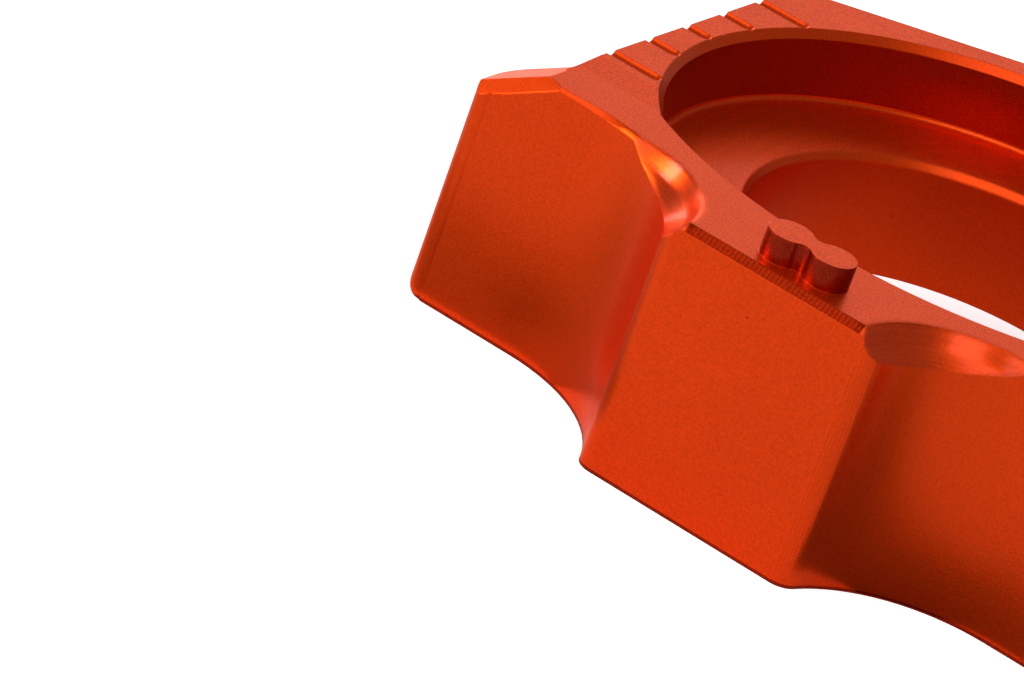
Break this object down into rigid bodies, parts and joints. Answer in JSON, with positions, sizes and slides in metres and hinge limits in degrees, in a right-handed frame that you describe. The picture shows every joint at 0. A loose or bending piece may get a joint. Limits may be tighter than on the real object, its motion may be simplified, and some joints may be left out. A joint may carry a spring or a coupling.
{
  "type": "motorcycle chain adjuster",
  "caption": "Billet axle block of a motorcycle chain adjuster: bored plate with a nut pocket, index lines, a winged cross bar and a bolt pad with a small locating peg.",
  "frame": {"origin": "on the axle bore's axis, on the underside of the plate", "axes": "+Z along the axle bore's axis, out of the pocket; -Y out of the pad's face; X along the index lines, with the lines on the -X side"},
  "size_m": [0.0486, 0.0432, 0.0165],
  "materials": {
    "anodised_aluminium": "satin orange-red anodised machined aluminium"
  },
  "bodies": {
    "root": {"axle_block": "anodised_aluminium"}
  },
  "joints": []
}
